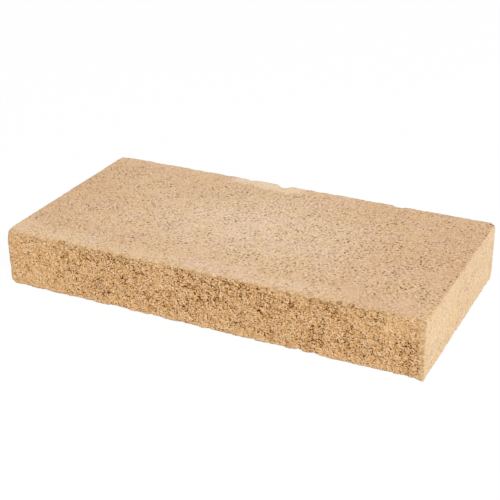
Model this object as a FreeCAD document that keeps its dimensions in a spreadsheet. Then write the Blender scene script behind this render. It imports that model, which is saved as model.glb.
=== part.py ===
import FreeCAD, Part
import math
import os
import Sketcher

# A refractory firebrick of the thin "split" kind, pressed from fireclay and fired as one solid.
# It lies flat on its bed face. The origin is the middle of that face.
# +X runs along the length, +Z is up through the thickness, and -Y is the coarse long side.
doc = FreeCAD.newDocument("firebrick")

# All sizes, in millimetres. A chip's place is its distance from the nearer end of the brick,
# or from the coarse side, so that it keeps this distance when the brick is resized.
sizes = {
    "brick_length": 228.6,
    "brick_width": 114.3,
    "brick_thickness": 31.75,
    "coarse_set_back": 0.55,
    "skin_strip_width": 5.0,
    "skin_shoulder_radius": 20.0,
    "coarse_arris_radius": 1.8,
    "back_arris_radius": 1.3,
    "left_arris_radius": 1.5,
    "right_arris_radius": 0.8,
    "back_nick_from_left": 108.3,
    "back_nick_length": 7.0,
    "back_nick_depth": 2.8,
    "back_scuff_from_left": 87.3,
    "back_scuff_length": 12.0,
    "back_scuff_depth": 1.2,
    "back_flake_from_right": 53.0,
    "back_flake_length": 9.0,
    "back_flake_depth": 1.6,
    "coarse_crumb_from_left": 34.9,
    "coarse_crumb_length": 5.0,
    "coarse_crumb_depth": 1.5,
    "coarse_nick_from_right": 41.8,
    "coarse_nick_length": 2.6,
    "coarse_nick_depth": 1.3,
    "coarse_notch_from_right": 36.0,
    "coarse_notch_length": 2.6,
    "coarse_notch_depth": 1.3,
    "coarse_spall_from_right": 7.0,
    "coarse_spall_length": 9.0,
    "coarse_spall_depth": 1.6,
    "bed_chip_from_left": 50.3,
    "bed_chip_length": 6.0,
    "bed_chip_depth": 1.4,
    "bed_nick_from_left": 86.0,
    "bed_nick_length": 4.5,
    "bed_nick_depth": 1.6,
    "bed_flake_from_right": 54.2,
    "bed_flake_length": 5.5,
    "bed_flake_depth": 1.5,
    "end_nick_from_coarse": 49.4,
    "end_nick_length": 5.0,
    "end_nick_depth": 1.0,
    "coarse_corner_radius": 6.0,
    "coarse_corner_depth": 2.6,
    "back_corner_radius": 4.2,
    "back_corner_depth": 1.9,
}

sheet = doc.addObject("Spreadsheet::Sheet", "Sizes")
for row, (alias, value) in enumerate(sizes.items(), start=1):
    sheet.set(f"A{row}", alias)
    sheet.set(f"B{row}", str(value))
    sheet.setAlias(f"B{row}", alias)
doc.recompute()

# The outline from above. The coarse side has lost its fired skin and lies a little further in
# than the strip of skin that is left beside the right end; a soft shoulder joins the two.
body = doc.addObject("PartDesign::Body", "Brick")
body.Label = "firebrick"
bed_plane = next(f for f in body.Origin.OriginFeatures if f.Role == "XY_Plane")

outline = body.newObject("Sketcher::SketchObject", "Outline")
outline.AttachmentSupport = [(bed_plane, "")]
outline.MapMode = "FlatFace"

half_length = sizes["brick_length"] / 2
half_width = sizes["brick_width"] / 2
set_back = sizes["coarse_set_back"]
strip = sizes["skin_strip_width"]
shoulder = sizes["skin_shoulder_radius"]
coarse_y = set_back - half_width
turn = math.acos(1 - set_back / (2 * shoulder))
strip_x = half_length - strip
coarse_x = strip_x - 2 * shoulder * math.sin(turn)


def line(x_start, y_start, x_end, y_end):
    """Add a straight side of the outline."""
    ends = FreeCAD.Vector(x_start, y_start, 0), FreeCAD.Vector(x_end, y_end, 0)
    return outline.addGeometry(Part.LineSegment(*ends), False)


def arc(x, y, end_angle):
    """Add one half of the shoulder: an arc that turns by the shoulder's angle up to the end angle."""
    circle = Part.Circle(FreeCAD.Vector(x, y, 0), FreeCAD.Vector(0, 0, 1), shoulder)
    return outline.addGeometry(Part.ArcOfCircle(circle, end_angle - turn, end_angle), False)


back_line = line(half_length, half_width, -half_length, half_width)
left_line = line(-half_length, half_width, -half_length, coarse_y)
coarse_line = line(-half_length, coarse_y, coarse_x, coarse_y)
outer_arc = arc(coarse_x, coarse_y - shoulder, math.pi / 2)
inner_arc = arc(strip_x, shoulder - half_width, 3 * math.pi / 2)
strip_line = line(strip_x, -half_width, half_length, -half_width)
right_line = line(half_length, -half_width, half_length, half_width)

straight = [strip_line, right_line, back_line, left_line, coarse_line]
for this, following in zip(straight, straight[1:]):
    outline.addConstraint(Sketcher.Constraint("Coincident", this, 2, following, 1))
outline.addConstraint(Sketcher.Constraint("Tangent", coarse_line, 2, outer_arc, 2))
outline.addConstraint(Sketcher.Constraint("Tangent", outer_arc, 1, inner_arc, 1))
outline.addConstraint(Sketcher.Constraint("Tangent", inner_arc, 2, strip_line, 1))
outline.addConstraint(Sketcher.Constraint("Equal", outer_arc, inner_arc))
for level in (back_line, coarse_line, strip_line):
    outline.addConstraint(Sketcher.Constraint("Horizontal", level))
for upright in (left_line, right_line):
    outline.addConstraint(Sketcher.Constraint("Vertical", upright))


def bind(rule, expression):
    """Add a sketch dimension and tie it to the cells."""
    number = outline.addConstraint(rule)
    outline.setExpression(f"Constraints[{number}]", expression)


bind(Sketcher.Constraint("DistanceX", left_line, 1, -1, 1, half_length), "Sizes.brick_length / 2")
bind(Sketcher.Constraint("DistanceX", -1, 1, right_line, 1, half_length), "Sizes.brick_length / 2")
bind(Sketcher.Constraint("DistanceY", -1, 1, back_line, 1, half_width), "Sizes.brick_width / 2")
bind(Sketcher.Constraint("DistanceY", strip_line, 2, -1, 1, half_width), "Sizes.brick_width / 2")
bind(Sketcher.Constraint("DistanceY", strip_line, 1, coarse_line, 2, set_back), "Sizes.coarse_set_back")
bind(Sketcher.Constraint("DistanceX", strip_line, 1, strip_line, 2, strip), "Sizes.skin_strip_width")
bind(Sketcher.Constraint("Radius", outer_arc, shoulder), "Sizes.skin_shoulder_radius")

block = body.newObject("PartDesign::Pad", "Block")
block.Profile = outline
block.setExpression("Length", "Sizes.brick_thickness")
doc.recompute()

# What lies closer to a plane than this counts as lying in it.
tiny = 1e-4


def round_edges(name, base, radius_cell, belongs):
    """Fillet the edges of the base whose bounding box passes the test."""
    edges = []
    for number, edge in enumerate(base.Shape.Edges, start=1):
        if belongs(edge.BoundBox):
            edges.append(f"Edge{number}")
    fillet = body.newObject("PartDesign::Fillet", name)
    fillet.Base = (base, edges)
    fillet.setExpression("Radius", f"Sizes.{radius_cell}")
    doc.recompute()
    return fillet


def on_coarse_side(box):
    """A level edge of the coarse side, at the bed or at the top."""
    return box.ZLength < tiny and box.YMax < 0


def on_back_side(box):
    """A level edge of the back side, at the bed or at the top."""
    return box.ZLength < tiny and box.YMin > 0


def on_left_end(box):
    """Any edge round the left end."""
    return box.XMax < tiny - half_length


def on_right_end(box):
    """Any edge round the right end."""
    return box.XMin > half_length - tiny


# The arrises: most worn on the coarse side, where loose grain has gone, and crispest at the right end.
worn = round_edges("CoarseArris", block, "coarse_arris_radius", on_coarse_side)
worn = round_edges("BackArris", worn, "back_arris_radius", on_back_side)
worn = round_edges("LeftArris", worn, "left_arris_radius", on_left_end)
worn = round_edges("RightArris", worn, "right_arris_radius", on_right_end)


def cut_chip(name, radius_rule, centre_rules):
    """Scoop a ball out of the brick, as a shell-shaped break leaves it."""
    before = body.Tip.Shape.Volume
    ball = body.newObject("PartDesign::SubtractiveSphere", name)
    ball.setExpression("Radius", radius_rule)
    for axis, rule in zip("xyz", centre_rules):
        ball.setExpression(f"Placement.Base.{axis}", rule)
    doc.recompute()
    if ball.Shape.Volume >= before:
        raise RuntimeError(f"{name} took nothing away")


def chip_radius(cell):
    """Radius of the ball whose bite at a square edge has the chip's length and depth."""
    chord = f"(Sizes.{cell}_length / 2)"
    depth = f"Sizes.{cell}_depth"
    return f"({chord} * {chord} + {depth} * {depth}) / (2 * {depth})"


def chip_offset(cell):
    """Distance of the ball's centre outside each of the two faces that meet at the edge."""
    return f"(({chip_radius(cell)}) - Sizes.{cell}_depth) / sqrt(2)"


def from_left(cell):
    """Place along the length, measured from the left end."""
    return f"-Sizes.brick_length / 2 + Sizes.{cell}_from_left"


def from_right(cell):
    """Place along the length, measured from the right end."""
    return f"Sizes.brick_length / 2 - Sizes.{cell}_from_right"


# The plane of the coarse side, from which its chips are measured.
coarse_face = "-Sizes.brick_width / 2 + Sizes.coarse_set_back"


def back_top_chip(name, cell, along):
    """A chip in the top edge of the back side."""
    off = chip_offset(cell)
    centre = (along, f"Sizes.brick_width / 2 + {off}", f"Sizes.brick_thickness + {off}")
    cut_chip(name, chip_radius(cell), centre)


def coarse_top_chip(name, cell, along):
    """A chip in the top edge of the coarse side."""
    off = chip_offset(cell)
    centre = (along, f"{coarse_face} - {off}", f"Sizes.brick_thickness + {off}")
    cut_chip(name, chip_radius(cell), centre)


def coarse_bed_chip(name, cell, along):
    """A chip in the bottom edge of the coarse side."""
    off = chip_offset(cell)
    centre = (along, f"{coarse_face} - {off}", f"0 - {off}")
    cut_chip(name, chip_radius(cell), centre)


# The chips, edge by edge.
back_top_chip("BackNick", "back_nick", from_left("back_nick"))
back_top_chip("BackScuff", "back_scuff", from_left("back_scuff"))
back_top_chip("BackFlake", "back_flake", from_right("back_flake"))
coarse_top_chip("CoarseCrumb", "coarse_crumb", from_left("coarse_crumb"))
coarse_top_chip("CoarseNick", "coarse_nick", from_right("coarse_nick"))
coarse_top_chip("CoarseNotch", "coarse_notch", from_right("coarse_notch"))
coarse_top_chip("CoarseSpall", "coarse_spall", from_right("coarse_spall"))
coarse_bed_chip("BedChip", "bed_chip", from_left("bed_chip"))
coarse_bed_chip("BedNick", "bed_nick", from_left("bed_nick"))
coarse_bed_chip("BedFlake", "bed_flake", from_right("bed_flake"))

# The nick in the bottom edge of the right end.
end_off = chip_offset("end_nick")
end_along = "-Sizes.brick_width / 2 + Sizes.end_nick_from_coarse"
end_centre = (f"Sizes.brick_length / 2 + {end_off}", end_along, f"0 - {end_off}")
cut_chip("EndNick", chip_radius("end_nick"), end_centre)


def corner_offset(cell):
    """Distance of the ball's centre outside each of the three faces that meet at the corner."""
    return f"(Sizes.{cell}_radius - Sizes.{cell}_depth) / sqrt(3)"


# The two broken corners: the lower left one of the coarse side and the upper right one of the back.
lower_off = corner_offset("coarse_corner")
lower_centre = (f"-Sizes.brick_length / 2 - {lower_off}", f"{coarse_face} - {lower_off}", f"0 - {lower_off}")
cut_chip("CoarseCorner", "Sizes.coarse_corner_radius", lower_centre)
upper_off = corner_offset("back_corner")
upper_centre = (
    f"Sizes.brick_length / 2 + {upper_off}",
    f"Sizes.brick_width / 2 + {upper_off}",
    f"Sizes.brick_thickness + {upper_off}",
)
cut_chip("BackCorner", "Sizes.back_corner_radius", upper_centre)

# Every feature must have come out sound before the solid is written.
for item in doc.Objects:
    if "Invalid" in item.State or "Error" in item.State:
        raise RuntimeError(f"{item.Name} did not build")
brick = body.Shape
if brick.isNull() or not brick.isValid() or len(brick.Solids) != 1:
    raise RuntimeError("the brick is not one valid solid")

os.makedirs("parts", exist_ok=True)
brick.exportStep("parts/firebrick.step")
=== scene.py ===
import math

import bpy
import numpy as np
from mathutils import Matrix, Vector


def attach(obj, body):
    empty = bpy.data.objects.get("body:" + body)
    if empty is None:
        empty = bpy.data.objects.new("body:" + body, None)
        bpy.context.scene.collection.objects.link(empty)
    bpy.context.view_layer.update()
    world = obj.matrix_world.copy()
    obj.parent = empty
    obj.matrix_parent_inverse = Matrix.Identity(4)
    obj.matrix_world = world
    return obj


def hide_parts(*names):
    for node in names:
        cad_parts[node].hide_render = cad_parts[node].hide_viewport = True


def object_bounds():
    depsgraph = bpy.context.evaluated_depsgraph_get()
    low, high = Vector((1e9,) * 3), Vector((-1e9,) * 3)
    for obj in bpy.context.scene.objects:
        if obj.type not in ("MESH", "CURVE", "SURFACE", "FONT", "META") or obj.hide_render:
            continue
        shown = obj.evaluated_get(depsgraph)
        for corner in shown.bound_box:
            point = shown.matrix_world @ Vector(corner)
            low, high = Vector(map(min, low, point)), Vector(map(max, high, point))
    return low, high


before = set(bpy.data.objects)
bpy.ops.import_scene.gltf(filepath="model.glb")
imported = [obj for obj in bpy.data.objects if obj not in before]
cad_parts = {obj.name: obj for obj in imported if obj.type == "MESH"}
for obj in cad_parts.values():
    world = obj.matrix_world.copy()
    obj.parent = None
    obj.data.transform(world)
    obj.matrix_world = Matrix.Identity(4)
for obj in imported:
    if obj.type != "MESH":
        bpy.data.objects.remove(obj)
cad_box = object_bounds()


# The firebrick: one block of fireclay and crushed, already fired clay (grog), pressed in a mould and fired.
# The top carries the fine, pitted skin of the press and the ends the smooth skin of the mould. The long
# side towards the viewer is coarse: its skin is gone and the grains stand out of it, with crevices between.
metre = 1000  # in millimetres, the unit of the brick's sizes
length, width, thickness = (round(metre * (far - near), 2) for near, far in zip(*cad_box))
half_length, half_width = length / 2, width / 2

# Grid lines along each axis. The coarse side has every line, the top and the right end have every second
# or fourth, and the back, left end and bed have every fourth or eighth.
lines_along, lines_across, lines_up = 640, 280, 88


def grid_places(count, span):
    """Places of count + 1 grid lines from 0 to span: even steps that narrow to a third near both ends.

    Each step is 1 less an exponential of its distance, in lines, from either end.
    """
    step = np.arange(count)
    narrowed, reach = 0.65, 4.0
    widths = 1 - narrowed * np.exp(-step / reach) - narrowed * np.exp(-step[::-1] / reach)
    return np.concatenate([[0.0], np.cumsum(widths)]) * span / widths.sum()


place_along = grid_places(lines_along, length) - half_length
place_across = grid_places(lines_across, width) - half_width
place_up = grid_places(lines_up, thickness)


def face_polygons(first, second, steps, border_steps, to_cell):
    """Polygons of one face of the block as grid line numbers, wound anticlockwise in (first, second).

    The face is a grid of rectangles, steps = (first, second) lines wide. A rectangle on a border also takes
    in the finer neighbour's corners, which lie border_steps = (low first, high first, low second, high
    second) lines apart, so that no seam is left open. to_cell turns (first, second) numbers into
    (along, across, up).
    """
    starts = np.meshgrid(np.arange(0, first, steps[0]), np.arange(0, second, steps[1]), indexing="ij")
    start_first, start_second = starts[0].ravel(), starts[1].ravel()
    borders = np.stack([
        start_second == 0,
        start_first == first - steps[0],
        start_second == second - steps[1],
        start_first == 0,
    ], 1)
    polygons = []
    for edges in np.unique(borders, axis=0):
        chosen = (borders == edges).all(1)
        fine = [
            border_steps[2] if edges[0] else steps[0],
            border_steps[1] if edges[1] else steps[1],
            border_steps[3] if edges[2] else steps[0],
            border_steps[0] if edges[3] else steps[1],
        ]
        round_first = np.concatenate([
            np.arange(0, steps[0], fine[0]),
            np.full(steps[1] // fine[1], steps[0]),
            np.arange(steps[0], 0, -fine[2]),
            np.zeros(steps[1] // fine[3], int),
        ])
        round_second = np.concatenate([
            np.zeros(steps[0] // fine[0], int),
            np.arange(0, steps[1], fine[1]),
            np.full(steps[0] // fine[2], steps[1]),
            np.arange(steps[1], 0, -fine[3]),
        ])
        corner_first = start_first[chosen, None] + round_first
        corner_second = start_second[chosen, None] + round_second
        polygons.append(to_cell(corner_first, corner_second))
    return polygons


def stacked(along, across, up):
    """Grid line numbers of the three axes side by side, with single numbers repeated."""
    return np.stack(np.broadcast_arrays(along, across, up), -1)


# The six faces, each with its lines in two directions, its own steps and its neighbours' steps.
coarse_side = face_polygons(
    lines_along, lines_up, (1, 1), (1, 1, 1, 1), lambda first, second: stacked(first, 0, second)
)
top = face_polygons(
    lines_along, lines_across, (2, 4), (4, 2, 1, 2), lambda first, second: stacked(first, second, lines_up)
)
right_end = face_polygons(
    lines_across, lines_up, (2, 4), (1, 4, 2, 2), lambda first, second: stacked(lines_along, first, second)
)
back = face_polygons(
    lines_along, lines_up, (4, 4), (4, 4, 4, 2),
    lambda first, second: stacked(lines_along - first, lines_across, second),
)
left_end = face_polygons(
    lines_across, lines_up, (4, 4), (4, 1, 4, 4),
    lambda first, second: stacked(0, lines_across - first, second),
)
bed = face_polygons(
    lines_along, lines_across, (8, 8), (4, 2, 4, 1),
    lambda first, second: stacked(first, lines_across - second, 0),
)
skin_faces = coarse_side + top + right_end + back + left_end + bed

# Corners that two faces share become one vertex: the three line numbers of a corner make one code.
code_base = 1000
corner_lines = np.concatenate([polygon.reshape(-1, 3) for polygon in skin_faces])
corner_codes = (corner_lines[:, 0] * code_base + corner_lines[:, 1]) * code_base + corner_lines[:, 2]
vertex_codes, corner_vertices = np.unique(corner_codes, return_inverse=True)
polygon_sizes = np.concatenate([np.full(len(polygon), polygon.shape[1]) for polygon in skin_faces])
flat = np.stack([
    place_along[vertex_codes // code_base**2],
    place_across[vertex_codes // code_base % code_base],
    place_up[vertex_codes % code_base],
], 1)

# Places on the plain block and distances from its faces.
along, across, up = flat.T
from_left, from_right = half_length + along, half_length - along
from_coarse, from_back = across + half_width, half_width - across
low = np.array([-half_length, -half_width, 0.0])
high = np.array([half_length, half_width, thickness])
to_arris = np.sort(np.minimum(flat - low, high - flat), axis=1)[:, 1]


def cell_random(cells, seed):
    """A number from 0 to 1 for each whole-numbered cell: its three numbers and the seed, mixed bit by bit
    with large odd numbers."""
    whole = cells.astype(np.int64).astype(np.uint32)
    mixed = whole[..., 0] * np.uint32(73856093)
    mixed = mixed ^ whole[..., 1] * np.uint32(19349663)
    mixed = mixed ^ whole[..., 2] * np.uint32(83492791)
    mixed = mixed ^ np.uint32((seed * 2654435761) % 2**32)
    mixed = (mixed ^ (mixed >> np.uint32(16))) * np.uint32(2146121005)
    mixed = (mixed ^ (mixed >> np.uint32(15))) * np.uint32(2221713035)
    return (mixed ^ (mixed >> np.uint32(16))) / 2.0**32


def smoothstep(start, end, value):
    """0 up to start, 1 from end on and an S-curve between. The start may be the larger of the two."""
    part = np.clip((value - start) / (end - start), 0, 1)
    return part * part * (3 - 2 * part)


def waves(points, size, seed):
    """Smooth random hills from -1 to 1, size mm across: random numbers at the corners of cubes, blended
    between them by S-curves."""
    scaled = points / size
    base = np.floor(scaled)
    blend = scaled - base
    blend = blend * blend * (3 - 2 * blend)
    total = np.zeros(len(points))
    for corner in np.ndindex(2, 2, 2):
        share = np.prod(np.where(corner, blend, 1 - blend), axis=1)
        total += share * cell_random(base + corner, seed)
    return 2 * total - 1


def rough(points, size, seed):
    """Waves of the given size plus two finer layers, each half as large and half as high as the last."""
    return sum(waves(points, size / 2**layer, seed + layer) / 2**layer for layer in range(3))


def grains(points, spacing, seed):
    """Grains packed spacing mm apart: at each point the distances from the middles of the nearest grain and
    of the next one, in units of the spacing, and a number from 0 to 1 that is the nearest grain's own.

    Each cell of a cubic lattice holds one grain, anywhere in it but in a thin margin.
    """
    margin, further_than_any = 0.05, 9.0
    scaled = points / spacing
    base = np.floor(scaled)
    nearest = np.full(len(points), further_than_any)
    following = np.full(len(points), further_than_any)
    own = np.zeros(len(points))
    for neighbour in np.ndindex(3, 3, 3):
        cell = base + neighbour - 1
        off_corner = np.stack([cell_random(cell, seed + axis) for axis in range(3)], 1)
        centre = cell + (margin + (1 - 2 * margin) * off_corner)
        away = np.linalg.norm(scaled - centre, axis=1)
        closer = away < nearest
        following = np.where(closer, nearest, np.minimum(following, away))
        own = np.where(closer, cell_random(cell, seed + 3), own)
        nearest = np.minimum(nearest, away)
    return nearest, following, own


# Rounded block: its edges have the radius arris. Those of the coarse side and the upper ones of the left end
# are worn rounder than the others, and the top corner between the two most of all.
plain_arris, coarse_wear, left_wear, corner_wear = 0.7, 0.9, 1.5, 1.5
at_coarse = smoothstep(9, 3, from_coarse) * smoothstep(0, 5, from_right)
at_left = smoothstep(12, 3, from_left)
to_corner = np.linalg.norm(flat - (-half_length, -half_width, thickness), axis=1)
arris = plain_arris + coarse_wear * at_coarse
arris += left_wear * smoothstep(3, 14, up) * at_left * (1 - at_coarse)
arris += corner_wear * smoothstep(8, 2, to_corner)
core = np.clip(flat, low + arris[:, None], high - arris[:, None])
outward = flat - core
outward /= np.linalg.norm(outward, axis=1, keepdims=True)
rounded = core + outward * arris[:, None]

# Where the skin is gone: it ends in a ragged line on the faces round the coarse side, about skin_end mm from
# its rim. Past that line a thin film of it is left at first, and the grain is firm for about firm_end mm and
# loose further in. The firm strip is widest by the right end.
skin_end, firm_end = 2.0, 2.1
from_rim = from_coarse - np.minimum.reduce([up, thickness - up, from_left, from_right])
near_right = smoothstep(7, 2, from_right)
past_skin = skin_end + 0.7 * rough(flat, 9.0, 11) + 0.8 * rough(flat, 2.2, 17) + 0.2 * near_right - from_rim
crumb = 0.5 * smoothstep(-1.0 - near_right, 1.0, past_skin) + 0.5 * smoothstep(1.6, 4.6, past_skin)
firm_width = firm_end + 1.0 * rough(flat, 12.0, 19) + 2.5 * near_right + 0.8 * smoothstep(-50, -95, along)
loose = smoothstep(0.0, 1.8, past_skin - firm_width)

# Relief of the coarse side: grains and clumps of grains, each standing at its own height, with crevices and
# grooves between them, and slow hills. It is shallower on a worn patch by the right end and at both ends.
grain_spacing, clump_spacing = 1.15, 3.8
ground_depth, soft_floor = 0.72, 0.1
shaken = flat + 0.4 * np.stack([rough(flat, 1.2, seed) for seed in (21, 22, 23)], 1)
stirred = shaken + 1.3 * np.stack([waves(flat, 3.5, seed) for seed in (24, 25, 26)], 1)
grain_near, grain_next, grain_own = grains(shaken, grain_spacing, 31)
clump_near, clump_next, clump_own = grains(stirred, clump_spacing, 41)
hill = rough(flat, 14.0, 51)
worn = smoothstep(34, 10, from_right) * smoothstep(15, 23, up + 2.5 * hill)
crevice = smoothstep(0.2, 0.03, grain_next - grain_near) * smoothstep(0.25, 0.6, grain_own)
groove = smoothstep(0.1, 0.02, clump_next - clump_near) * smoothstep(-0.3, 0.3, waves(flat, 6.0, 45))
grain_height = 0.5 * grain_own - 0.25 * grain_near**2 - 0.3 * crevice
clump_height = 0.42 * clump_own - 0.42 * clump_near**2 - 0.35 * groove
coarse_depth = ground_depth - grain_height - clump_height - 0.18 * hill
coarse_depth = soft_floor * np.log1p(np.exp(coarse_depth / soft_floor)) * (1 - 0.4 * worn)
coarse_depth *= 0.3 + 0.7 * smoothstep(1, 11, from_right)
coarse_depth *= 1 - 0.3 * smoothstep(-70, -105, along) - 0.4 * smoothstep(5, 1, from_left)

# Relief of the skin: faint waves, and wear along the arrises. Crumbs are lost from the coarse side's foot.
wear = np.clip(0.2 + rough(flat, 3.0, 61), 0, None) * smoothstep(2.0, 0.2, to_arris)
skin_depth = np.clip(0.08 + 0.06 * rough(flat, 9.0, 71) + 0.3 * wear, 0, None)
lost = np.clip(0.1 + rough(flat, 4.0, 65), 0, None) * smoothstep(3.0, 0.5, up)
depth = loose * coarse_depth + (1 - loose) * skin_depth + 0.8 * lost * at_coarse * (1 - at_left)
surface = rounded - outward * depth[:, None]

# Chips: shell-shaped bites of a ball. Each edge or corner is named by the way out of the brick there, and
# each of its chips has a place along the edge (0 at a corner), a length and a depth. The small ones of the
# coarse side's top edge are nicks, painted dark as the shade in them.
small_nick = 5.0
coarse_top = (0, -1, 1)
chips = {
    (0, 1, 1): ((-27.0, 12.0, 1.2), (-6.0, 9.0, 3.2), (61.3, 9.0, 1.6)),
    coarse_top: (
        (-79.4, 5.0, 1.9), (-21.0, 6.0, 0.9), (72.5, 3.0, 1.6),
        (78.3, 3.0, 1.6), (98.5, 4.0, 1.0), (107.3, 9.0, 1.6),
    ),
    (0, -1, -1): ((-64.0, 6.0, 1.4), (-28.3, 4.5, 1.6), (60.1, 5.5, 1.5)),
    (1, 0, -1): ((-7.7, 5.0, 1.0),),
    (-1, -1, -1): ((0.0, 8.6, 2.6),),
    (1, 1, 1): ((0.0, 7.0, 1.9),),
}
broken = np.zeros(len(flat))
shaded_nick = np.zeros(len(flat))
chip_roughness = 0.25 * rough(flat, 2.0, 81)
for edge, bites in chips.items():
    way_out = np.array(edge) / np.linalg.norm(edge)
    for place_on_edge, chip_length, chip_depth in bites:
        edge_point = np.select([way_out > 0, way_out < 0], [high, low], place_on_edge)
        radius = (chip_length**2 / 4 + chip_depth**2) / (2 * chip_depth)
        centre = edge_point + way_out * (radius - chip_depth)
        uneven = radius + chip_roughness
        away = surface - centre
        reach = np.linalg.norm(away, axis=1)
        inside = reach < uneven
        surface = np.where(inside[:, None], centre + away * (uneven / reach)[:, None], surface)
        broken = np.maximum(broken, inside)
        shaded_nick = np.maximum(shaded_nick, inside & (edge == coarse_top and chip_length <= small_nick))

# Bare grain shows in the chips too, and a little along the frayed top arris of the right end. Its painted
# shade, the pores in its hollows and the darker colour between its clumps, is weaker by the left end, on the
# worn patch and at the foot.
frayed = smoothstep(2.2, 0.6, to_arris + 0.8 * rough(flat, 4.0, 83)) * smoothstep(4, 2, from_right)
frayed *= smoothstep(28, 31, up)
crumb = np.maximum(crumb, 0.8 * broken)
crumb = np.maximum(crumb, (0.12 + 0.3 * smoothstep(-10, -45, across)) * frayed)
loose = np.maximum(loose, 0.7 * broken)
loose = np.maximum(loose, 0.8 * frayed)
lively = 1 - 0.3 * smoothstep(-50, -105, along) - 0.4 * worn
lively *= 1 - 0.25 * smoothstep(8, 3, up)
# hollow carries painted shade: the material opens more dark pores in crevices, grooves and nicks, as the
# shade in them.
hollow = np.maximum(0.8 * np.maximum(crevice, groove) * lively, 0.9 * shaded_nick)
# Painted shade between the clumps: where sunk is high the material gives the bare grain its darker, shaded
# colour, and fully so in the nicks.
sunk = np.maximum(smoothstep(0.6, 1.15, 0.78 - clump_height - 0.3 * (grain_own - 0.5)) * lively, shaded_nick)

# The skin is smoother and paler in a band along the coarse side, at the back edge and on a rubbed patch
# there. Most pits lie on the top, with bald spots between. Its middle is paler, and all of it less pale to
# the right.
on_top = smoothstep(0.5, 0.9, outward[:, 2])
mould = smoothstep(0.6, 0.9, np.abs(outward[:, 0]))
band = on_top * smoothstep(26, 6, from_coarse + 5 * rough(flat, 22.0, 91))
back_edge = on_top * smoothstep(16, 4, from_back)
right_edge = on_top * smoothstep(3.0, 0.8, from_right)
far_right = on_top * smoothstep(30, 100, along)
rubbed = on_top * smoothstep(25, 18, np.abs(along + 15))
rubbed *= smoothstep(12, 8, from_back + 3 * rough(flat, 8.0, 94))
bald = np.maximum(smoothstep(0.35, 0.6, rough(flat, 9.0, 93)), rubbed)
pitting = 0.42 + 0.42 * on_top + 0.15 * rough(flat, 18.0, 95) + 0.22 * rough(flat, 6.0, 99)
pitting += 0.3 * right_edge
pitting += on_top * (0.08 * smoothstep(10, 80, along) - 0.06 * smoothstep(-20, -70, along))
pitting -= 0.5 * bald + 0.2 * band + 0.25 * back_edge
pitting = np.where(crumb > 0.5, lively, np.clip(pitting, 0, 1))
pale_middle = on_top * np.exp(-((along / 75) ** 2) - (across / 48) ** 2)
pale = np.maximum.reduce([0.75 * pale_middle, 0.7 * mould, rubbed, 0.5 * band, 0.3 * back_edge])
pale = np.clip(pale * (1 - 0.85 * far_right) + 0.1 + 0.1 * rough(flat, 26.0, 97), 0, 1)

# The mould was a little narrower at the right end: there the back lies further in.
narrowing = 0.9 * (surface[:, 0] + half_length) / length
surface[:, 1] -= narrowing * (surface[:, 1] + half_width) / width

# The mesh, with the marks that the material reads from it.
marks = {
    "crumb": crumb,  # how far the skin is gone
    "loose": loose,  # how far the bare grain is loose and open
    "hollow": hollow,  # how deep in a crevice, a groove or a nick
    "sunk": sunk,  # how deep between clumps
    "tint": grain_own,  # each grain's own shade
    "pitting": pitting,  # how many pits are in the skin, or pores in the bare grain
    "pale": pale,  # how pale the skin is
    "mould": mould,  # the smooth skin of the ends
}
mesh = bpy.data.meshes.new("firebrick_skin")
mesh.vertices.add(len(surface))
mesh.vertices.foreach_set("co", (np.clip(surface, low, high) / metre).astype(np.float32).ravel())
mesh.loops.add(len(corner_vertices))
mesh.loops.foreach_set("vertex_index", corner_vertices.astype(np.int32))
mesh.polygons.add(len(polygon_sizes))
mesh.polygons.foreach_set("loop_start", (np.cumsum(polygon_sizes) - polygon_sizes).astype(np.int32))
mesh.polygons.foreach_set("use_smooth", np.ones(len(polygon_sizes), bool))
for name, values in marks.items():
    mesh.attributes.new(name, "FLOAT", "POINT").data.foreach_set("value", values.astype(np.float32))
mesh.update(calc_edges=True)
mesh.validate()
brick = bpy.data.objects.new("firebrick_skin", mesh)
bpy.context.collection.objects.link(brick)


def linear(colour):
    """An sRGB hex colour as linear RGBA: a straight line for the darkest parts and a power of 2.4 above."""
    parts = np.array([int(colour[start:start + 2], 16) for start in (1, 3, 5)]) / 255
    curved = np.where(parts <= 0.04045, parts / 12.92, ((parts + 0.055) / 1.055) ** 2.4)
    return (*curved, 1.0)


def add(tree, kind, links=None, **settings):
    """Adds one node: settings are its properties, links gives each input a value or another node's output.

    Inputs by number: a Mix takes its share at 0, two numbers at 2 and 3 and two colours at 6 and 7. A Map
    Range takes its value at 0, the ends that it comes from at 1 and 2 and those that it goes to at 3 and 4.
    """
    new = tree.nodes.new(kind)
    for key, value in settings.items():
        setattr(new, key, value)
    for key, value in (links or {}).items():
        if isinstance(value, bpy.types.NodeSocket):
            tree.links.new(value, new.inputs[key])
        else:
            new.inputs[key].default_value = value
    return new


# Fired fireclay, unglazed: a dry buff body with next to no shine. The skin is pale and pinkish with small
# pits, painted dark as the shade in them, and where it is gone the grains are a deeper yellow-brown, with
# painted shade darkest in the crevices between them.
# Places are in metres here, so a pattern of a size in millimetres has the scale metre / size.
fireclay = bpy.data.materials.new("fired_fireclay")
fireclay.use_nodes = True
tree = fireclay.node_tree
tree.nodes.clear()
place = add(tree, "ShaderNodeTexCoord").outputs["Object"]
mark = {name: add(tree, "ShaderNodeAttribute", attribute_name=name).outputs["Fac"] for name in marks}
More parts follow.
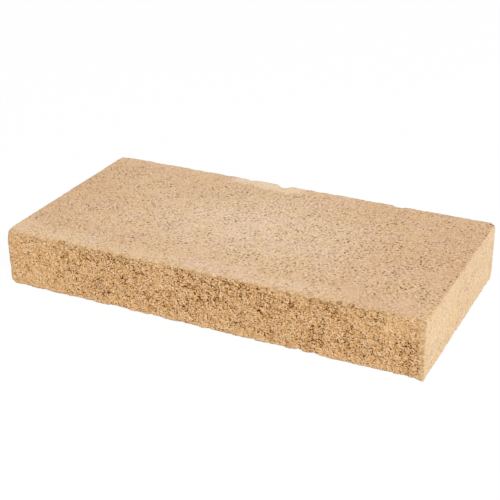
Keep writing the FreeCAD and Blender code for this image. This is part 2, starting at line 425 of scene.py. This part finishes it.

# Grit: grains of sand about a millimetre wide, drawn coarser than the real ones so that they show. Each has
# its own shade, and is painted light on its dome and dark at its foot: painted light and shade of its round
# top.
grit_cell = (1.25, 1.5, 0.95)
grit_place = add(
    tree, "ShaderNodeVectorMath", {0: place, 1: [metre / size for size in grit_cell]}, operation="MULTIPLY"
).outputs[0]
grit = add(tree, "ShaderNodeTexVoronoi", {"Vector": grit_place, "Scale": 1.0})
grit_away = grit.outputs["Distance"]
grit_own = add(tree, "ShaderNodeSeparateColor", {0: grit.outputs["Color"]}).outputs[0]
grit_shade = add(tree, "ShaderNodeMath", {0: grit_own, 1: 0.4}, operation="MULTIPLY").outputs[0]
dome = add(tree, "ShaderNodeMapRange", {0: grit_away, 1: 0.8, 2: 0.1}).outputs[0]
grit_tone_and_shade = add(
    tree, "ShaderNodeMath", {0: dome, 1: 0.6, 2: grit_shade}, operation="MULTIPLY_ADD"
).outputs[0]

# Colour of the skin between its deep and its light shade, by the grit, with its painted light on the domes
# and painted shade at the feet, and by a finer sand. It is paler where it is marked pale, and a little
# yellower in patches.
sand_size, patch_size = 0.6, 12
skin_deep = add(
    tree, "ShaderNodeMix", {0: mark["pale"], 6: linear("#A57E57"), 7: linear("#B99A79")}, data_type="RGBA"
).outputs[2]
skin_light = add(
    tree, "ShaderNodeMix", {0: mark["pale"], 6: linear("#E2BD99"), 7: linear("#EFD7BE")}, data_type="RGBA"
).outputs[2]
skin_dome_shade = add(tree, "ShaderNodeMapRange", {0: grit_away, 1: 0.85, 2: 0.35}).outputs[0]
skin_shade = add(tree, "ShaderNodeMath", {0: grit_own, 1: 0.3}, operation="MULTIPLY").outputs[0]
skin_tone_and_shade = add(
    tree, "ShaderNodeMath", {0: skin_dome_shade, 1: 0.7, 2: skin_shade}, operation="MULTIPLY_ADD"
).outputs[0]
skin_grit = add(tree, "ShaderNodeMapRange", {0: mark["pitting"], 3: 0.2, 4: 0.8}).outputs[0]
skin_even = add(tree, "ShaderNodeMix", {0: skin_grit, 2: 0.72, 3: skin_tone_and_shade}).outputs[0]
sand = add(
    tree, "ShaderNodeTexNoise", {"Vector": place, "Scale": metre / sand_size, "Detail": 0.0}
).outputs["Fac"]
sand_shade = add(tree, "ShaderNodeMapRange", {0: sand, 1: 0.25, 2: 0.75, 3: -0.26, 4: 0.26}).outputs[0]
skin_sanded = add(tree, "ShaderNodeMath", {0: skin_even, 1: sand_shade}, operation="ADD").outputs[0]
skin_colour = add(
    tree, "ShaderNodeMix", {0: skin_sanded, 6: skin_deep, 7: skin_light}, data_type="RGBA"
).outputs[2]
patches = add(
    tree, "ShaderNodeTexNoise", {"Vector": place, "Scale": metre / patch_size, "Detail": 1.0}
).outputs["Fac"]
yellow = add(tree, "ShaderNodeMapRange", {0: patches, 1: 0.4, 2: 0.65}).outputs[0]
skin_patched = add(
    tree, "ShaderNodeMix",
    {0: yellow, 6: skin_colour, 7: linear("#FFFFF6")}, data_type="RGBA", blend_type="MULTIPLY",
).outputs[2]

# The ends are a little yellower, with faint upright streaks from drawing the brick out of the mould.
streak_cell = (0.9, 0.9, 9)
streak_place = add(
    tree, "ShaderNodeVectorMath", {0: place, 1: [metre / size for size in streak_cell]}, operation="MULTIPLY"
).outputs[0]
streaks = add(
    tree, "ShaderNodeTexNoise", {"Vector": streak_place, "Scale": 1.0, "Detail": 1.0}
).outputs["Fac"]
streak = add(tree, "ShaderNodeMapRange", {0: streaks, 1: 0.35, 2: 0.6}).outputs[0]
end_tint = add(
    tree, "ShaderNodeMix", {0: streak, 6: linear("#F1EFE4"), 7: linear("#FCFAF1")}, data_type="RGBA"
).outputs[2]
skin_tinted = add(
    tree, "ShaderNodeMix",
    {0: mark["mould"], 6: skin_patched, 7: end_tint}, data_type="RGBA", blend_type="MULTIPLY",
).outputs[2]

# Pits in the skin: one to a cell drawn out along the brick, of an uneven shape that wanders by half a
# millimetre, with a pale lip. Their dark brown is painted shade in the pits. Most are faint, and the darker
# a pit, the rarer it is.
pit_cell = (1.85, 1.1, 1.5)
wander_size, wander_reach = 0.45, 1.0
wander = add(
    tree, "ShaderNodeTexNoise", {"Vector": place, "Scale": metre / wander_size, "Detail": 1.0}
).outputs["Color"]
wandering = add(
    tree, "ShaderNodeVectorMath",
    {0: wander, 1: [wander_reach / metre] * 3, 2: place}, operation="MULTIPLY_ADD",
).outputs[0]
pit_place = add(
    tree, "ShaderNodeVectorMath",
    {0: wandering, 1: [metre / size for size in pit_cell]}, operation="MULTIPLY",
).outputs[0]
pits = add(tree, "ShaderNodeTexVoronoi", {"Vector": pit_place, "Scale": 1.0})
pit_away = pits.outputs["Distance"]
pit_own = add(tree, "ShaderNodeSeparateColor", {0: pits.outputs["Color"]}).outputs
pit_size = add(tree, "ShaderNodeMapRange", {0: pit_own[0], 3: 0.28, 4: 0.46}).outputs[0]
pit_inner = add(tree, "ShaderNodeMath", {0: pit_size, 1: 0.78}, operation="MULTIPLY").outputs[0]
pit_outer = add(tree, "ShaderNodeMath", {0: pit_size, 1: 1.65}, operation="MULTIPLY").outputs[0]
pit_spot = add(tree, "ShaderNodeMapRange", {0: pit_away, 1: pit_size, 2: pit_inner}).outputs[0]
pit_lip = add(tree, "ShaderNodeMapRange", {0: pit_away, 1: pit_outer, 2: pit_size}).outputs[0]
pit_rest = add(tree, "ShaderNodeMath", {0: 1.0, 1: pit_own[1]}, operation="SUBTRACT").outputs[0]
pit_rare = add(tree, "ShaderNodeMath", {0: pit_rest, 1: math.e}, operation="LOGARITHM").outputs[0]
pit_dark = add(
    tree, "ShaderNodeMath", {0: pit_rare, 1: -0.78}, operation="MULTIPLY", use_clamp=True
).outputs[0]
pit_share = add(tree, "ShaderNodeMath", {0: pit_dark, 1: mark["pitting"]}, operation="MULTIPLY").outputs[0]
pit = add(tree, "ShaderNodeMath", {0: pit_spot, 1: pit_share}, operation="MULTIPLY").outputs[0]
lip_share = add(tree, "ShaderNodeMath", {0: pit_share, 1: 0.6}, operation="MULTIPLY").outputs[0]
lip = add(tree, "ShaderNodeMath", {0: pit_lip, 1: lip_share}, operation="MULTIPLY").outputs[0]
skin_lipped = add(
    tree, "ShaderNodeMix", {0: lip, 6: skin_tinted, 7: linear("#F4D6B2")}, data_type="RGBA"
).outputs[2]
# The dark brown of a pit: painted shade in it.
skin_pitted = add(
    tree, "ShaderNodeMix", {0: pit, 6: skin_lipped, 7: linear("#6A3A00")}, data_type="RGBA"
).outputs[2]

# Bare grain: each grain its own shade, painted darker between the clumps as the shade there, with dark brown
# pores under a millimetre wide, their dark painted shade in the gaps between grains, the more of them in the
# hollows and crevices. The firm strip by the skin is a little cooler.
pore_cell = (0.85, 0.7, 0.55)
# The grain's own shade mixed with the grit's painted light on its domes and painted shade at its feet.
grain_tone_and_shade = add(tree, "ShaderNodeMix", {0: 0.75, 2: mark["tint"], 3: grit_tone_and_shade}).outputs[0]
grain_proud = add(
    tree, "ShaderNodeMix", {0: grain_tone_and_shade, 6: linear("#CC9553"), 7: linear("#F7DCB4")}, data_type="RGBA"
).outputs[2]
# A darker copy of the grain's colour: painted shade between the clumps.
grain_shaded = add(
    tree, "ShaderNodeMix", {0: grain_tone_and_shade, 6: linear("#BA883F"), 7: linear("#F0CA98")}, data_type="RGBA"
).outputs[2]
grain_colour = add(
    tree, "ShaderNodeMix", {0: mark["sunk"], 6: grain_proud, 7: grain_shaded}, data_type="RGBA"
).outputs[2]
pore_place = add(
    tree, "ShaderNodeVectorMath", {0: place, 1: [metre / size for size in pore_cell]}, operation="MULTIPLY"
).outputs[0]
pores = add(tree, "ShaderNodeTexNoise", {"Vector": pore_place, "Scale": 1.0, "Detail": 2.0}).outputs["Fac"]
pore_open = add(tree, "ShaderNodeMapRange", {0: mark["pitting"], 3: 0.68, 4: 0.613}).outputs[0]
pore_sunk = add(
    tree, "ShaderNodeMath", {0: mark["sunk"], 1: -0.03, 2: pore_open}, operation="MULTIPLY_ADD"
).outputs[0]
pore_start = add(
    tree, "ShaderNodeMath", {0: mark["hollow"], 1: -0.15, 2: pore_sunk}, operation="MULTIPLY_ADD"
).outputs[0]
pore_full = add(tree, "ShaderNodeMath", {0: pore_start, 1: 0.034}, operation="ADD").outputs[0]
pore = add(tree, "ShaderNodeMapRange", {0: pores, 1: pore_start, 2: pore_full}).outputs[0]
# The pores' dark brown, painted shade, shows only where the grain is loose.
painted_pore_shade = add(tree, "ShaderNodeMath", {0: pore, 1: mark["loose"]}, operation="MULTIPLY").outputs[0]
bare_colour = add(
    tree, "ShaderNodeMix", {0: painted_pore_shade, 6: grain_colour, 7: linear("#6A3000")}, data_type="RGBA"
).outputs[2]
firm = add(tree, "ShaderNodeMath", {0: 1.0, 1: mark["loose"]}, operation="SUBTRACT").outputs[0]
rim_colour = add(
    tree, "ShaderNodeMix",
    {0: firm, 6: bare_colour, 7: linear("#F1F7FB")}, data_type="RGBA", blend_type="MULTIPLY",
).outputs[2]
body_colour = add(
    tree, "ShaderNodeMix", {0: mark["crumb"], 6: skin_pitted, 7: rim_colour}, data_type="RGBA"
).outputs[2]

# Bump: pits and pores sink in, and grit stands out by about a tenth of a millimetre on the skin and three
# tenths where it is gone.
bump_height = 0.3
skin_rise = add(tree, "ShaderNodeMath", {0: dome, 1: 0.5}, operation="MULTIPLY").outputs[0]
skin_height = add(tree, "ShaderNodeMath", {0: skin_rise, 1: pit}, operation="SUBTRACT").outputs[0]
bare_rise = add(tree, "ShaderNodeMath", {0: dome, 1: pore}, operation="SUBTRACT").outputs[0]
bare_height = add(tree, "ShaderNodeMath", {0: bare_rise, 1: 1.15}, operation="MULTIPLY").outputs[0]
height = add(tree, "ShaderNodeMix", {0: mark["loose"], 2: skin_height, 3: bare_height}).outputs[0]
bump = add(
    tree, "ShaderNodeBump", {"Height": height, "Distance": bump_height / metre, "Strength": 0.9}
).outputs[0]
body = {"Base Color": body_colour, "Roughness": 0.95, "Diffuse Roughness": 0.6, "Specular IOR Level": 0.08}
shader = add(tree, "ShaderNodeBsdfPrincipled", {**body, "Normal": bump})
add(tree, "ShaderNodeOutputMaterial", {"Surface": shader.outputs[0]})
mesh.materials.append(fireclay)

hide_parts("firebrick")
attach(brick, "root")


# The floor: one wide sheet of matt white paper, lying flat under the brick. Where it is looked at it is
# nearly white by itself, so that only the soft shadow of the brick is left on it.
floor_reach = 6
paper_glow, paper_share = 1.02, 0.95
floor_corners = [(x * floor_reach, y * floor_reach, 0) for x, y in ((-1, -1), (1, -1), (1, 1), (-1, 1))]
floor_mesh = bpy.data.meshes.new("paper_floor")
floor_mesh.from_pydata(floor_corners, [], [(0, 1, 2, 3)])
floor = bpy.data.objects.new("paper_floor", floor_mesh)
bpy.context.collection.objects.link(floor)


def looked_at(tree):
    """1 for rays that show a thing straight, in a mirror or through glass, and 0 for those that carry light.

    It is the largest of the three marks that Blender gives such rays.
    """
    rays = add(tree, "ShaderNodeLightPath").outputs
    indirect = add(
        tree, "ShaderNodeMath",
        {0: rays["Is Glossy Ray"], 1: rays["Is Transmission Ray"]}, operation="MAXIMUM",
    ).outputs[0]
    return add(
        tree, "ShaderNodeMath", {0: rays["Is Camera Ray"], 1: indirect}, operation="MAXIMUM"
    ).outputs[0]


paper = bpy.data.materials.new("white_paper")
paper.use_nodes = True
paper_tree = paper.node_tree
paper_tree.nodes.clear()
paper_matt = add(paper_tree, "ShaderNodeBsdfDiffuse", {"Color": linear("#D9D9D9")}).outputs[0]
paper_white = add(
    paper_tree, "ShaderNodeEmission", {"Color": linear("#FFFFFF"), "Strength": paper_glow}
).outputs[0]
white_share = add(
    paper_tree, "ShaderNodeMath", {0: looked_at(paper_tree), 1: paper_share}, operation="MULTIPLY"
).outputs[0]
paper_mix = add(paper_tree, "ShaderNodeMixShader", {0: white_share, 1: paper_matt, 2: paper_white})
add(paper_tree, "ShaderNodeOutputMaterial", {"Surface": paper_mix.outputs[0]})
floor_mesh.materials.append(paper)


# The light: an even white room, which is white where it is looked at and dimmer as a light, and one large
# soft lamp. The lamp stands to the right of the brick, in front of it and above it.
room_light, room_white = 0.35, 0.99
lamp_width, lamp_watts = 0.8, 80
lamp_place = Vector((1.82, -1.66, 1.78))
scene = bpy.context.scene
world = bpy.data.worlds.new("white_room")
scene.world = world
world.use_nodes = True
room_tree = world.node_tree
room_tree.nodes.clear()
room_strength = add(
    room_tree, "ShaderNodeMapRange", {0: looked_at(room_tree), 3: room_light, 4: room_white}
).outputs[0]
room = add(room_tree, "ShaderNodeBackground", {"Color": linear("#FFFFFF"), "Strength": room_strength})
add(room_tree, "ShaderNodeOutputWorld", {"Surface": room.outputs[0]})

lamp_data = bpy.data.lights.new("soft_lamp", "AREA")
lamp_data.shape = "DISK"
lamp_data.size = lamp_width
lamp_data.energy = lamp_watts
lamp = bpy.data.objects.new("soft_lamp", lamp_data)
bpy.context.collection.objects.link(lamp)
lamp_turn = lamp_place.to_track_quat("Z", "Y").to_matrix().to_4x4()
lamp.matrix_world = Matrix.Translation(lamp_place) @ lamp_turn


# The camera: a long lens a little over half a metre from the brick, in front of it, to its right and above
# it, and turned very slightly. Its eye lies on the way back from the brick, shifted a little left and up.
azimuth, elevation, roll = (math.radians(angle) for angle in (26.445, 26.169, -0.713))
shift_right, shift_up, distance = -0.00087, 0.01591, 0.61097
focal_pixels, picture_pixels = 1148.8, 500
sensor_width = 36
way_back = Vector((
    math.sin(azimuth) * math.cos(elevation),
    -math.cos(azimuth) * math.cos(elevation),
    math.sin(elevation),
))
level_right = Vector((math.cos(azimuth), math.sin(azimuth), 0))
level_up = way_back.cross(level_right)
camera_right = math.cos(roll) * level_right + math.sin(roll) * level_up
camera_up = math.cos(roll) * level_up - math.sin(roll) * level_right
eye = shift_right * camera_right + shift_up * camera_up + distance * way_back
camera_data = bpy.data.cameras.new("camera")
camera_data.sensor_width = sensor_width
camera_data.lens = focal_pixels / picture_pixels * sensor_width
camera = bpy.data.objects.new("camera", camera_data)
bpy.context.collection.objects.link(camera)
camera_turn = Matrix((camera_right, camera_up, way_back)).transposed().to_4x4()
camera.matrix_world = Matrix.Translation(eye) @ camera_turn
scene.camera = camera
scene.view_settings.view_transform = "Standard"
